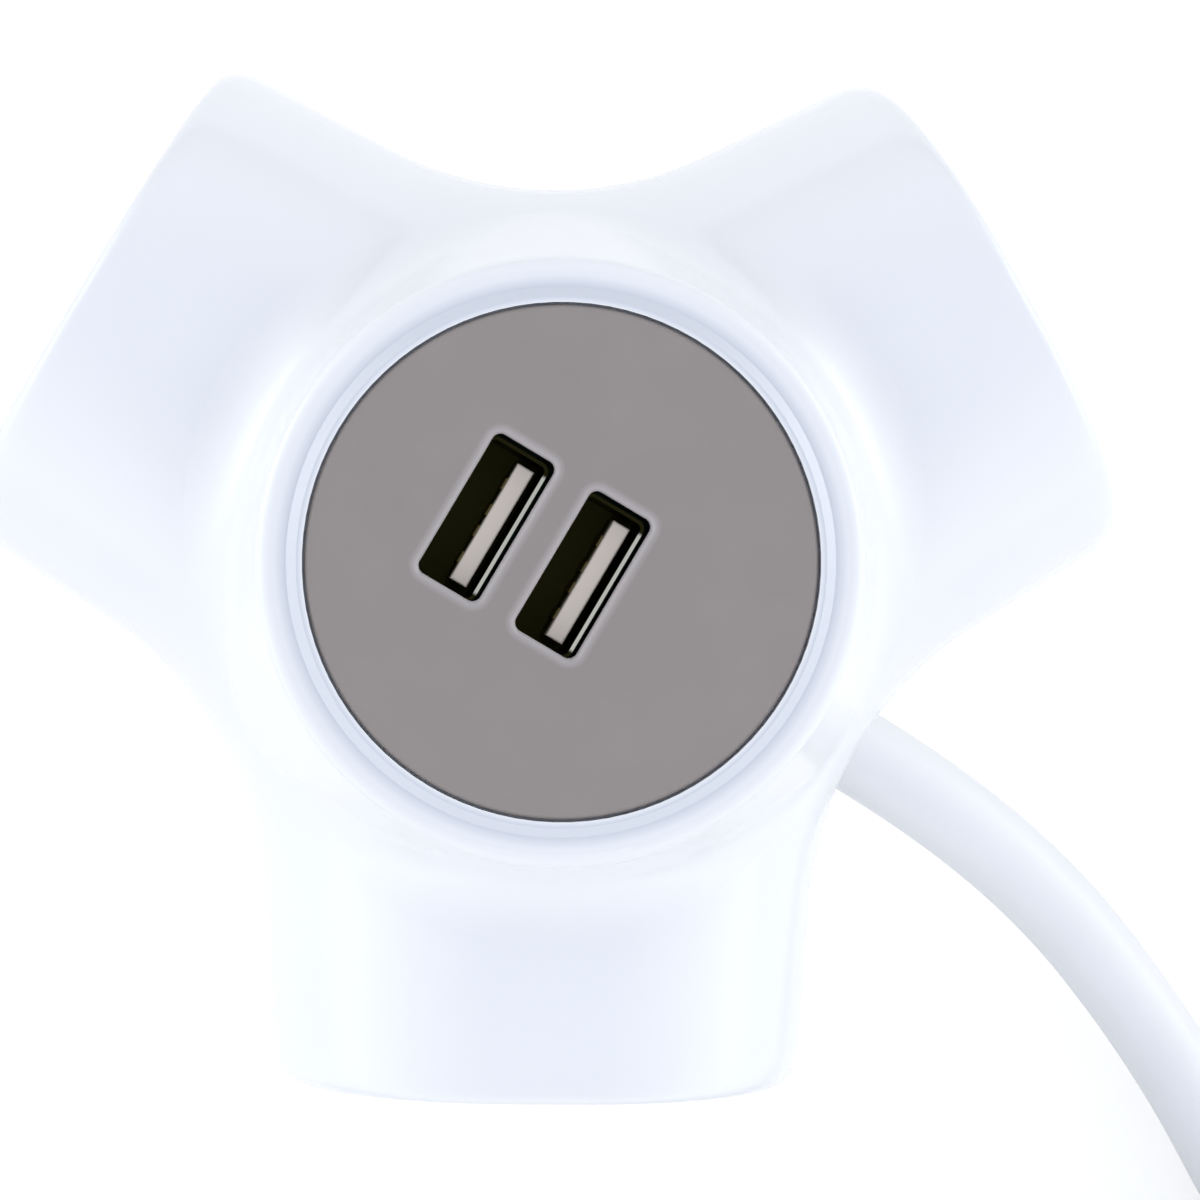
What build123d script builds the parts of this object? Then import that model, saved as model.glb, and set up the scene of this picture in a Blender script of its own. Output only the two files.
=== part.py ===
from build123d import *
import os
from math import cos, radians, sin, sqrt, tan

# Outlet: a round recessed two-pin outlet with earth springs at its sides
pin_pitch = 19.0
pin_radius = 2.4
pin_length = 19.0
pin_hole_radius = 2.75
pin_hole_chamfer = 0.5
well_radius = 19.6
well_depth = 17.8
well_floor = 1.8
well_chamfer = 0.5
guide_rib_width = 5.0
guide_rib_depth = 3.0
guide_rib_setback = 2.8
insert_wall = 1.2
flange_step = 0.4
flange_length = 2.0

# Housing
wall = 1.6
mouth_wall = 2.0
mouth_gap = 1.0
flange_gap = 0.2
seam_gap = 0.15
arm_reach = 45.5
arm_flare = 3.0
valley_radius = 31.0
crest_flat = 6.0
corner_length = 3.2
corner_width = 2.4
crest_edge = 1.0
end_blunt = 0.05
end_steps = (0.0, 0.08, 0.2, 0.35, 0.55, 0.8, 1.15, 1.6, 2.1, 2.65, 3.2, 3.8, 4.4)
end_length = 5.0
run_off = 8.0
lower_draft = 4.0
base_round = 5.0
arm_angles = {"front": -90.0, "right": 30.0, "left": 150.0}

# Hub and its rim
hub_radius = 24.9
hub_rise = 6.5
hub_draft = 16.0
hub_foot = 9.0
hub_sweep = 7.0
shoulder_round = 1.2
lip_width = 0.5
lip_height = 0.6
lip_slope = 0.8
seat_width = 1.7
seat_thickness = 1.6

# Plate with two ports
plate_radius = 21.1
plate_gap = 0.2
plate_thickness = 1.5
plate_sink = 0.1
plate_edge_round = 0.5
window_corner = 0.8
window_gap = 0.05
window_round = 0.6
leg_radius = 2.2
leg_circle = 14.3
leg_angles = (30.0, 150.0, 270.0)

# Ports
port_width = 12.5
port_height = 5.12
port_pitch = 9.2
port_offset = -2.6
shell_thickness = 0.3
shell_gap = 0.1
shell_shift = (0.3, -0.3)
tongue_width = 11.0
tongue_thickness = 1.55
tongue_offset = 1.1
tongue_recess = 0.8
tongue_tip_round = 0.2
tongue_base_height = 3.2
tongue_base_gap = 0.05
contact_width = 1.0
contact_thickness = 0.15
contact_setback = 1.2
contact_length = 6.0
contact_places = (-3.5, -1.0, 1.0, 3.5)

# Charger board
board_radius = 20.2
board_thickness = 1.6
board_clearance = 1.4
transformer_size = (11.0, 8.0, 9.0)
transformer_place = (0.0, 10.4)
bobbin_size = (7.0, 10.0, 6.4)
input_capacitor_radius = 3.1
input_capacitor_height = 9.0
input_capacitor_place = (-10.8, -3.2)
output_capacitor_radius = 2.5
output_capacitor_height = 8.0
output_capacitor_place = (10.4, -2.6)
capacitor_groove = 0.25
lead_radius = 0.6

# Bus bars
bar_thickness = 0.8
bar_half_width = 3.0
bar_hub_radius = 6.5
bar_hole_radius = 2.6
grip_half_gap = 2.1
pin_overlap = 2.1
grip_setback = 5.1
grip_mouth = 3.0
grip_splay = 3.0
tab_half_width = 2.5
tab_end = 11.0
neutral_tab_end = 14.0
neutral_tab_half_width = 5.0
strap_width = 4.5
strap_thickness = 0.8
strap_wall_gap = 1.2
strap_spring = 2.4
strap_slot_gap = 0.5
strap_bend = 1.0
strap_inner_bend = 0.1
stack_radius = 5.0
stack_bore_gap = 0.15
bus_cover_radius = 20.4
bus_cover_thickness = 1.0
bus_cover_gap = 0.5

# Screws
screw_setback = 2.7
boss_gap = 0.4
housing_screw_angles = (60.0, 120.0, 210.0, 330.0)
screw_radius = 1.45
screw_head_radius = 2.7
screw_head_height = 1.8
screw_hole_gap = 0.1
counterbore_gap = 0.2
boss_wall = 1.55
lower_boss_wall = 0.8
screw_seat_height = 13.0
screw_grip = 9.0
small_screw_radius = 1.0
small_screw_head_radius = 1.9
small_screw_head_height = 1.1
small_screw_length = 6.0

# Base pad
pad_radius = 18.8
pad_thickness = 1.4
pad_recess = 0.4
pad_gap = 0.1
pad_edge_round = 0.4

# Cord, its entry and its clamp
cord_radius = 3.9
cord_height = 13.0
cord_gap = 0.1
sheath_end = 22.0
core_radius = 1.3
core_circle = 1.6
core_run = 3.0
live_detour = 3.6
grommet_wall = 1.2
grommet_flange = 1.2
grommet_flange_length = 1.3
grommet_proud = 0.6
entry_half_width = 8.0
entry_depth = 1.6
clamp_half_width = 8.6
clamp_length = 3.6
clamp_inset = 0.8
clamp_height = 5.0
clamp_split = 0.5
clamp_screw_place = 6.2

# Seen length of the cord, from its entry down to the table
lead_bends = ((0.0, 34.5, 13.0), (0.65, 47.0, 12.0), (2.75, 58.5, 9.6), (6.7, 69.5, 7.0), (11.4, 79.5, 5.3))
entry_run = 11.5

# Put-away length of the cord
coil_place = (73.4, 103.6)
coil_radius = 39.9
coil_columns = 2
coil_layers = 3
coil_entry_heading = 63.4
coil_exit_heading = -90.0
coil_stub = 27.5
coil_edge = 2.6
turn_inset = 0.1
tie_angle = 200.0
tie_width = 9.0
tie_thickness = 0.8

# Plug
plug_face_radius = 18.5
plug_face_depth = 17.5
plug_grip_radius = 12.5
plug_grip_length = 28.0
plug_neck_radius = 6.4
plug_tail_radius = 4.6
plug_tail_length = 24.0
plug_sleeve_grooves = 5
plug_sleeve_groove = 1.4
plug_flat = 16.8
plug_groove_width = 5.6
plug_groove_depth = 3.2
plug_edge_round = 1.0
plug_tilt = 5.3
plug_strip_width = 4.0
plug_strip_thickness = 0.8
plug_strip_inset = 1.5
pin_tip_round = 1.6

# Heights and places that follow
insert_radius = well_radius + insert_wall
flange_radius = insert_radius + flange_step
arm_half_width = flange_radius + flange_gap + wall
base_z = pad_thickness - pad_recess
floor_z = base_z + wall
axis_z = floor_z + flange_gap + flange_radius
crest_z = axis_z + arm_half_width
crest_round = arm_half_width - crest_flat / 2
ledge_z = crest_z + hub_rise
lip_z = ledge_z + lip_height
plate_top = lip_z - plate_sink
seat_z = plate_top - plate_thickness
roof_z = seat_z - seat_thickness
recess_radius = plate_radius + plate_gap
hub_slope = tan(radians(hub_draft))
well_front = arm_reach - well_depth
well_back = well_front - well_floor
flange_front = arm_reach - mouth_wall
grip_start = well_front - pin_length + pin_overlap
grip_end = well_back - grip_setback
grip_throat = grip_end - grip_mouth
boss_radius = screw_radius + boss_wall
lower_boss_radius = screw_head_radius + counterbore_gap + lower_boss_wall
housing_screw_circle = (well_back - screw_setback - lower_boss_radius) / cos(radians(30.0))
live_z = axis_z + pin_pitch / 2
neutral_z = axis_z - pin_pitch / 2
grip_height = 2 * (pin_radius + bar_thickness)
live_plate_z = live_z - grip_height / 2 - bar_thickness
neutral_plate_z = neutral_z - grip_height / 2 - bar_thickness
earth_plate_z = axis_z - bar_thickness / 2
cover_z = live_z + grip_height / 2 + bus_cover_gap
board_z = cover_z + bus_cover_thickness + board_clearance
board_top = board_z + board_thickness
shell_top = seat_z - shell_gap
cord_diameter = 2 * cord_radius
coil_z = tie_thickness
entry_z = coil_z + cord_radius + turn_inset
exit_z = entry_z + cord_diameter
outer_turn = coil_radius + (coil_columns - 1) * cord_radius - turn_inset
clamp_end = sheath_end + clamp_inset + clamp_length


def block(x0, x1, y0, y1, z0, z1):
    """Upright box between two corners."""
    centre = ((x0 + x1) / 2, (y0 + y1) / 2, (z0 + z1) / 2)
    return Pos(*centre) * Box(x1 - x0, y1 - y0, z1 - z0)


def post(radius, bottom, top, x=0.0, y=0.0):
    """Upright round bar."""
    return extrude(Plane.XY.offset(bottom) * Pos(x, y) * Circle(radius), top - bottom)


def rod(radius, start, end, side=0.0, height=0.0):
    """Round bar along an arm that points along +X, measured from the outlet's axis."""
    plane = Plane(origin=(start, 0, axis_z), x_dir=(0, 1, 0), z_dir=(1, 0, 0))
    return extrude(plane * Pos(side, height) * Circle(radius), end - start)


def cross_rod(radius, start, end, height):
    """Round bar along +Y on the cord's line."""
    plane = Plane(origin=(0, start, height), x_dir=(-1, 0, 0), z_dir=(0, 1, 0))
    return extrude(plane * Circle(radius), end - start)


def on_circle(circle, angle):
    return circle * cos(radians(angle)), circle * sin(radians(angle))


def turned(solid, angle):
    return Rot(0, 0, angle) * solid


def on_each_arm(solid):
    """Copies of a piece that was drawn on an arm along +X, one on each arm."""
    return [turned(solid, angle) for angle in arm_angles.values()]


def route_radii(points):
    """The largest bend that each corner of a cord's route has room for."""
    radii = []
    for before, corner, after in zip(points, points[1:], points[2:]):
        run_in = Vector(*corner) - Vector(*before)
        run_out = Vector(*after) - Vector(*corner)
        turn = run_in.get_angle(run_out)
        shorter = min(run_in.length, run_out.length)
        radii.append(0.45 * shorter / tan(radians(turn / 2)))
    return radii


def tube(points, radius):
    """Round tube along straight runs joined by tangent arcs."""
    path = FilletPolyline(*points, radius=route_radii(points))
    section = Plane(origin=path @ 0, z_dir=path % 0) * Circle(radius)
    return sweep(section, path=path)


def plan_face(inset):
    """Plan of the body: three flared arms with round valleys between them."""
    slope = tan(radians(arm_flare))
    tip = arm_reach + run_off
    end_half = arm_half_width - inset
    root_half = end_half + arm_reach * slope
    tip_half = end_half - run_off * slope
    arm = Polygon((0, -root_half), (tip, -tip_half), (tip, tip_half), (0, root_half), align=None)
    first, *others = on_each_arm(arm)
    star = first
    for other in others:
        star += other
    valleys = star.vertices().sort_by(lambda v: Vector(v.X, v.Y).length)[:3]
    return fillet(valleys, valley_radius + inset)


def side_edges(face):
    """Edges of the plan, apart from the three straight arm tips."""
    tip = arm_reach + run_off
    return [edge for edge in face.edges() if not at_tip(edge, tip)]


def at_tip(edge, distance):
    """Whether an edge lies across an arm at that distance from the hub's axis."""
    for angle in arm_angles.values():
        way = Vector(*on_circle(1.0, angle))
        places = [Vector((edge @ t).X, (edge @ t).Y).dot(way) for t in (0.0, 0.5, 1.0)]
        if all(abs(place - distance) < 0.01 for place in places):
            return True
    return False


def trim_ends(body, distance):
    """Cuts the three arms off square at that distance from the hub's axis."""
    reach = arm_reach + 2 * run_off
    cutter = block(distance, distance + reach, -reach, reach, -reach, 2 * reach)
    return body - on_each_arm(cutter)


def upper_arms(inset):
    """Arched upper half of the three arms, past their ends."""
    body = extrude(Plane.XY.offset(axis_z) * plan_face(inset), arm_half_width - inset)
    top = body.faces().sort_by(Axis.Z)[-1]
    return fillet(side_edges(top), crest_round - inset)


def lower_arms(inset):
    """Drafted lower half of the three arms with a rounded bottom edge, past their ends."""
    depth = axis_z - base_z - inset
    shrink = depth * tan(radians(lower_draft))
    top = Plane.XY.offset(axis_z) * plan_face(inset)
    bottom = Plane.XY.offset(axis_z - depth) * plan_face(inset + shrink)
    body = loft([top, bottom], ruled=True)
    face = body.faces().sort_by(Axis.Z)[0]
    return fillet(side_edges(face), base_round - inset)


def hub_radius_at(z):
    return hub_radius + (ledge_z - z) * hub_slope


def hub_cone(inset, top):
    """Drafted round hub, from inside the arms up to a height."""
    foot = axis_z + hub_foot
    skin = inset / cos(radians(hub_draft))
    corners = [(0, foot), (hub_radius_at(foot) - skin, foot), (hub_radius_at(top) - skin, top), (0, top)]
    return revolve(Plane.XZ * Polygon(*corners, align=None), Axis.Z)


def on_hub_foot(edge):
    """Whether an edge is where the hub meets the arms."""
    middle = edge @ 0.5
    off = Vector(middle.X, middle.Y).length - hub_radius_at(middle.Z)
    return edge.geom_type != GeomType.LINE and abs(off) < 0.02 and middle.Z < ledge_z - shoulder_round


def end_inset(distance, radius):
    """How far a round edge of that radius stands back at a distance from an arm's end."""
    along = distance + end_blunt
    if along >= radius:
        return 0.0
    return radius - sqrt(radius ** 2 - (radius - along) ** 2)


def end_plane(distance):
    return Plane(origin=(arm_reach - distance, 0, 0), x_dir=(0, 1, 0), z_dir=(1, 0, 0))


def corner_inset(distance):
    return end_inset(distance, corner_length) * corner_width / corner_length


def end_half_width(distance):
    return arm_half_width + distance * tan(radians(arm_flare)) - corner_inset(distance)


def upper_section(distance):
    """Section of an arm's arched half near its rounded end, on an arm along +X."""
    half = end_half_width(distance)
    top = crest_z - end_inset(distance, crest_edge)
    rise = crest_round - corner_inset(distance)
    reach = rise / cos(radians(arm_flare))
    right = EllipticalCenterArc((half - reach, top - rise), reach, rise, start_angle=0, arc_size=90)
    left = EllipticalCenterArc((reach - half, top - rise), reach, rise, start_angle=90, arc_size=90)
    base = Polyline(left @ 1, (-half, axis_z), (half, axis_z), right @ 0)
    return end_plane(distance) * make_face(right + Line(right @ 1, left @ 0) + left + base)


def lower_section(distance):
    """Section of an arm's drafted half near its rounded end, on an arm along +X."""
    half = end_half_width(distance)
    foot = half - (axis_z - base_z) * tan(radians(lower_draft))
    bottom = base_z + end_inset(distance, crest_edge)
    outline = Polygon((-foot, bottom), (foot, bottom), (half, axis_z), (-half, axis_z), align=None)
    corners = outline.vertices().group_by(Axis.Y)[0]
    return end_plane(distance) * fillet(corners, base_round)


def rounded_ends(body, section):
    """Cuts the arms short and closes each of them with a rounded end."""
    body = trim_ends(body, arm_reach - end_length)
    start = Rot(0, 0, 90) * body.faces().sort_by(Axis.Y)[0]
    cap = loft([start, *(section(distance) for distance in reversed(end_steps))])
    return body + on_each_arm(cap)


def mouths():
    """Outlet openings in the three arm ends, as wide as the rims of the inserts behind them."""
    return on_each_arm(rod(well_radius + mouth_gap, flange_front - wall, arm_reach + wall))


def stop_ribs(arms):
    """Ribs that back each outlet insert, with room for its pins and its earth spring."""
    slab = block(well_back - wall, well_back, -2 * arm_reach, 2 * arm_reach, 0, 2 * axis_z)
    rib_bore = well_radius - 2 * wall
    hollow = rod(rib_bore, well_back - 2 * wall, well_back + wall)
    slot_half = strap_width / 2 + strap_slot_gap
    slot = block(well_back - 2 * wall, well_back + wall, -insert_radius, insert_radius,
                 axis_z - slot_half, axis_z + slot_half)
    return [arms & turned(slab - hollow - slot, angle) for angle in arm_angles.values()]


def screw_places():
    return [on_circle(housing_screw_circle, angle) for angle in housing_screw_angles]


def notched(piece, bottom, top):
    """A flat round piece, cut back where the upper housing's screw bosses pass it."""
    return piece - [post(boss_radius + boss_gap, bottom, top, x, y) for x, y in screw_places()]


def upper_housing():
    arms = upper_arms(0.0)
    body = arms + hub_cone(0.0, ledge_z)
    body = fillet([edge for edge in body.edges() if on_hub_foot(edge)], hub_sweep)
    shoulder = [edge for edge in body.edges() if abs((edge @ 0.5).Z - ledge_z) < 0.01]
    body = fillet(shoulder, shoulder_round)
    body = rounded_ends(body, upper_section)
    inside = upper_arms(wall)
    cavity = trim_ends(inside, flange_front) + hub_cone(wall, roof_z)
    bosses = [post(boss_radius, axis_z, roof_z, x, y) & body for x, y in screw_places()]
    lip = [(recess_radius, ledge_z), (recess_radius, lip_z), (recess_radius + lip_width, lip_z),
           (recess_radius + lip_width + lip_slope, ledge_z)]
    body += revolve(Plane.XZ * Polygon(*lip, align=None), Axis.Z)
    body -= cavity
    body += stop_ribs(trim_ends(inside, flange_front))
    body -= mouths()
    body -= post(recess_radius, seat_z, lip_z + wall)
    body -= post(recess_radius - seat_width, roof_z - wall, lip_z)
    body -= block(-2 * arm_reach, 2 * arm_reach, -2 * arm_reach, 2 * arm_reach, axis_z, axis_z + seam_gap)
    body += bosses
    body -= [post(screw_radius + screw_hole_gap / 2, axis_z - wall, axis_z + 2 * screw_grip, x, y)
             for x, y in screw_places()]
    return body


def lower_housing():
    body = rounded_ends(lower_arms(0.0), lower_section)
    inside = trim_ends(lower_arms(wall), flange_front)
    solid = body
    body = body - inside
    body += stop_ribs(inside)
    body -= mouths()
    seat_top = floor_z + screw_seat_height
    body += [post(lower_boss_radius, base_z, axis_z, x, y) for x, y in screw_places()]
    body += post(stack_radius, base_z, neutral_plate_z)
    entry_face = cord_exit() - wall - entry_depth
    entry = block(-entry_half_width, entry_half_width, entry_face, cord_exit(), base_z,
                  cord_height + cord_radius + grommet_wall + grommet_flange)
    body += entry & solid
    body += block(-clamp_half_width, clamp_half_width, sheath_end + clamp_inset, clamp_end, base_z,
                  cord_height - clamp_split)
    body -= cross_rod(cord_radius + cord_gap, sheath_end, clamp_end + wall, cord_height)
    body -= cross_rod(cord_radius + grommet_wall, entry_face - wall, cord_exit() + 2 * wall, cord_height)
    body -= post(pad_radius + pad_gap, 0, base_z + pad_recess)
    body -= [post(screw_head_radius + counterbore_gap, 0, seat_top, x, y) for x, y in screw_places()]
    body -= [post(screw_radius + screw_hole_gap, 0, axis_z + wall, x, y) for x, y in screw_places()]
    body -= post(screw_radius, floor_z, neutral_plate_z + wall)
    for side in (-1, 1):
        body -= post(small_screw_radius, floor_z, cord_height, side * clamp_screw_place,
                     (sheath_end + clamp_inset + clamp_end) / 2)
    return body


def cord_exit():
    """Distance of the valley's wall from the hub's axis at the height of the cord."""
    slope = tan(radians(arm_flare))
    half_turn = radians(60.0 + arm_flare)
    corner = (arm_half_width + arm_reach * slope) / (sin(radians(60.0)) + cos(radians(60.0)) * slope)
    valley = corner + valley_radius * (1 / sin(half_turn) - 1)
    return valley - (axis_z - cord_height) * tan(radians(lower_draft))


def base_pad():
    pad = post(pad_radius, 0, pad_thickness)
    return fillet(pad.edges().group_by(Axis.Z)[0], pad_edge_round)


def screw(radius, head_radius, head_height, length):
    """Screw that points up, with its head below the seat at height zero."""
    shank = post(radius, 0, length)
    head = post(head_radius, -head_height, 0)
    return shank + head


def housing_screws():
    seat = floor_z + screw_seat_height
    length = axis_z - seat + screw_grip
    one = screw(screw_radius, screw_head_radius, screw_head_height, length)
    return Compound([Pos(x, y, seat) * one for x, y in screw_places()])


def socket_insert():
    """Outlet insert on an arm along +X."""
    body = rod(insert_radius, well_back, flange_front)
    body += rod(flange_radius, flange_front - flange_length, flange_front)
    body -= rod(well_radius, well_front, flange_front + wall)
    mouth = [edge for edge in body.edges() if edge.geom_type == GeomType.CIRCLE
             and abs((edge @ 0).X - flange_front) < 0.01 and abs(edge.radius - well_radius) < 0.01]
    body = chamfer(mouth, well_chamfer)
    half_rib = guide_rib_width / 2
    for side in (-1, 1):
        inner = side * (well_radius - guide_rib_depth) + axis_z
        outer = side * (well_radius + insert_wall / 2) + axis_z
        body += block(well_front, arm_reach - guide_rib_setback, -half_rib, half_rib,
                      min(inner, outer), max(inner, outer))
        hole = rod(pin_hole_radius, well_back - wall, well_front + wall, height=side * pin_pitch / 2)
        body -= hole
    rims = [edge for edge in body.edges() if edge.geom_type == GeomType.CIRCLE
            and abs((edge @ 0).X - well_front) < 0.01 and abs(edge.radius - pin_hole_radius) < 0.01]
    body = chamfer(rims, pin_hole_chamfer)
    slot_half = strap_width / 2 + strap_slot_gap
    slot_inner = well_radius - strap_wall_gap - strap_spring - 2 * strap_thickness - strap_slot_gap
    for side in (-1, 1):
        body -= block(well_back - wall, well_front + wall, min(side * slot_inner, side * well_radius),
                      max(side * slot_inner, side * well_radius), axis_z - slot_half, axis_z + slot_half)
    return body


def earth_strap():
    """Earth spring of an outlet on an arm along +X: flat behind the floor, folded at the well's sides."""
    middle = well_back - strap_thickness / 2
    side = well_radius - strap_wall_gap - strap_thickness / 2
    fold = arm_reach - guide_rib_setback - 2 * strap_spring
    spring = side - strap_spring
    half = [(middle, 0), (middle, side), (fold, side), (fold + strap_bend, side - strap_bend),
            (fold - well_depth / 3, spring), (fold - well_depth / 2, spring + strap_thickness)]
    line = FilletPolyline(*[(x, y) for x, y in half], radius=strap_thickness / 2 + strap_inner_bend)
    flat = trace(line, line_width=strap_thickness)
    one_side = extrude(Plane.XY.offset(axis_z - strap_width / 2) * flat, strap_width)
    return one_side + mirror(one_side, about=Plane.XZ)


def grip_pair():
    """The two sprung leaves that hold one pin, on an arm along +X, standing on height zero."""
    splay = grip_half_gap + bar_thickness
    leaf = Polygon((grip_start, bar_half_width - bar_thickness), (grip_throat, grip_half_gap),
                   (grip_end, grip_splay), (grip_end, grip_splay + bar_thickness), (grip_throat, splay),
                   (grip_start, bar_half_width), align=None)
    one = extrude(leaf, grip_height)
    return [one, mirror(one, about=Plane.XZ)]


def bar_plate(reach, tab, tab_half):
    """Flat three-armed bar with a tab towards the cord, standing on height zero."""
    plan = Circle(bar_hub_radius)
    arm = Pos(reach / 2, 0) * Rectangle(reach, 2 * bar_half_width)
    for one in on_each_arm(arm):
        plan += one
    plan += Pos(0, tab / 2) * Rectangle(2 * tab_half, tab)
    return extrude(plan - Circle(bar_hole_radius), bar_thickness)


def pin_bar(tab, tab_half):
    """Bus bar with a pair of leaves on each arm."""
    bar = bar_plate(grip_throat, tab, tab_half)
    for leaf in grip_pair():
        bar += on_each_arm(Pos(0, 0, bar_thickness) * leaf)
    return bar


def live_busbar():
    return Pos(0, 0, live_plate_z) * pin_bar(tab_end, tab_half_width)


def neutral_busbar():
    return Pos(0, 0, neutral_plate_z) * pin_bar(neutral_tab_end, neutral_tab_half_width)


def earth_busbar():
    reach = well_back - strap_thickness
    bar = Pos(0, 0, earth_plate_z) * bar_plate(reach, tab_end, tab_half_width)
    ear = block(reach - bar_thickness, reach, -bar_half_width, bar_half_width,
                axis_z - strap_width / 2, axis_z + strap_width / 2)
    return bar + on_each_arm(ear)


def bus_spacer(bottom, top):
    return post(stack_radius, bottom, top) - post(screw_radius + stack_bore_gap, bottom, top)


def bus_cover():
    """Insulating cover over the live bar, on its own stem, with a recess for the stack's screw."""
    stem_bottom = live_plate_z + bar_thickness
    cover = post(stack_radius, stem_bottom, cover_z + bus_cover_thickness)
    cover += post(bus_cover_radius, cover_z, cover_z + bus_cover_thickness)
    seat = stem_bottom + 2 * bar_thickness
    cover -= post(screw_radius + stack_bore_gap, stem_bottom, seat)
    cover -= post(screw_head_radius + stack_bore_gap, seat, cover_z + 2 * bus_cover_thickness)
    for x, y in lead_places().values():
        cover -= post(lead_radius + stack_bore_gap, cover_z, cover_z + bus_cover_thickness, x, y)
    return notched(cover, cover_z, cover_z + bus_cover_thickness)


def bus_screw():
    seat = live_plate_z + 3 * bar_thickness
    tip = floor_z + wall
    one = screw(screw_radius, screw_head_radius, screw_head_height, seat - tip)
    return Pos(0, 0, seat) * Rot(180, 0, 0) * one


def lead_places():
    """Where the two thin leads rise to the charger board."""
    live = (-tab_half_width + lead_radius, tab_end - 2 * lead_radius)
    neutral = (-neutral_tab_half_width + lead_radius, neutral_tab_end - 2 * lead_radius)
    return {"live": live, "neutral": neutral}


def charger_lead(name, plate_z):
    x, y = lead_places()[name]
    return post(lead_radius, plate_z + bar_thickness, board_z, x, y)


def port_places():
    return {"front": port_offset - port_pitch / 2, "rear": port_offset + port_pitch / 2}


def in_port(piece, y):
    """Sets a piece that was drawn at the middle of a port's shell behind its window."""
    return Pos(shell_shift[0], y + shell_shift[1], 0) * piece


def usb_plate():
    plate = post(plate_radius, seat_z, plate_top)
    plate = fillet(plate.edges().group_by(Axis.Z)[-1], plate_edge_round)
    margin = shell_thickness + window_gap
    window = RectangleRounded(port_width + 2 * margin, port_height + 2 * margin, window_corner)
    for y in port_places().values():
        plate -= extrude(Plane.XY.offset(seat_z) * Pos(0, y) * window, plate_thickness)
    rims = [edge for edge in plate.edges() if (edge @ 0.5).Z > plate_top - 0.01
            and Vector((edge @ 0.5).X, (edge @ 0.5).Y).length < plate_radius - 2 * plate_edge_round]
    plate = fillet(rims, window_round)
    for angle in leg_angles:
        x, y = on_circle(leg_circle, angle)
        plate += post(leg_radius, board_top, seat_z, x, y)
        plate -= post(small_screw_radius, board_top, board_z + small_screw_length, x, y)
    return plate


def usb_shell():
    """Folded metal shell of a port, open at both ends."""
    outer = RectangleRounded(port_width + 2 * shell_thickness, port_height + 2 * shell_thickness,
                             window_corner)
    inner = RectangleRounded(port_width, port_height, window_corner - shell_thickness)
    return extrude(Plane.XY.offset(board_top) * (outer - inner), shell_top - board_top)


def usb_tongue():
    """Moulded insulator of a port, with the tongue that carries its contacts."""
    base = RectangleRounded(port_width - 2 * tongue_base_gap, port_height - 2 * tongue_base_gap,
                            window_corner - shell_thickness)
    body = extrude(Plane.XY.offset(board_top) * base, tongue_base_height)
    half = tongue_thickness / 2
    tongue = block(-tongue_width / 2, tongue_width / 2, tongue_offset - half, tongue_offset + half,
                   board_top, shell_top - tongue_recess)
    return body + fillet(tongue.edges().group_by(Axis.Z)[-1], tongue_tip_round)


def usb_contacts():
    """Four flat contact strips on the open face of a tongue."""
    face = tongue_offset - tongue_thickness / 2
    top = shell_top - tongue_recess - contact_setback
    half = contact_width / 2
    return Compound([block(x - half, x + half, face - contact_thickness, face, top - contact_length, top)
                     for x in contact_places])


def usb_board():
    board = post(board_radius, board_z, board_top)
    for angle in leg_angles:
        x, y = on_circle(leg_circle, angle)
        board -= post(small_screw_radius + screw_hole_gap, board_z, board_top, x, y)
    return notched(board, board_z, board_top)


def board_screws():
    one = screw(small_screw_radius, small_screw_head_radius, small_screw_head_height, small_screw_length)
    places = [on_circle(leg_circle, angle) for angle in leg_angles]
    return Compound([Pos(x, y, board_z) * one for x, y in places])


def transformer():
    """Ferrite core with its wound and taped bobbin."""
    x, y = transformer_place
    width, depth, height = transformer_size
    core = Pos(x, y, board_top + height / 2) * Box(width, depth, height)
    wide, deep, high = bobbin_size
    bobbin = Pos(x, y, board_top + height / 2) * Box(wide, deep, high)
    core -= Pos(x, y, board_top + height / 2) * Box(wide, 2 * depth, high)
    return core + fillet(bobbin.edges().filter_by(Axis.X), 1.0)


def capacitor(place, radius, height):
    """Round can with the rolled groove near its foot."""
    x, y = place
    can = post(radius, board_top, board_top + height, x, y)
    foot = board_top + height / 6
    groove = post(2 * radius, foot, foot + 3 * capacitor_groove, x, y)
    groove -= post(radius - capacitor_groove, foot, foot + 3 * capacitor_groove, x, y)
    return fillet((can - groove).edges().group_by(Axis.Z)[-1], 2 * capacitor_groove)


def core_start(angle):
    return core_circle * cos(radians(angle)), cord_height + core_circle * sin(radians(angle))


def neutral_wire():
    x, z = core_start(210.0)
    rest = neutral_plate_z + bar_thickness + core_radius
    points = [(x, sheath_end, z), (x, sheath_end - core_run, z), (x, neutral_tab_end + core_run / 2, rest),
              (x, tab_end - core_run / 2, rest)]
    return tube(points, core_radius)


def earth_wire():
    x, z = core_start(90.0)
    rest = earth_plate_z - core_radius
    points = [(x, sheath_end, z), (x, sheath_end - core_run, z), (x, tab_end + core_run, rest),
              (x, tab_end - core_run, rest)]
    return tube(points, core_radius)


def live_wire():
    x, z = core_start(330.0)
    rest = live_plate_z - core_radius
    out = x + live_detour
    points = [(x, sheath_end, z), (x, sheath_end - core_run, z),
              (out, tab_end + 2 * core_run, (2 * z + rest) / 3),
              (out, tab_end + core_run, (z + 3 * rest) / 4), (x, tab_end, rest),
              (x, tab_end - core_run, rest)]
    return tube(points, core_radius)


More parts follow.
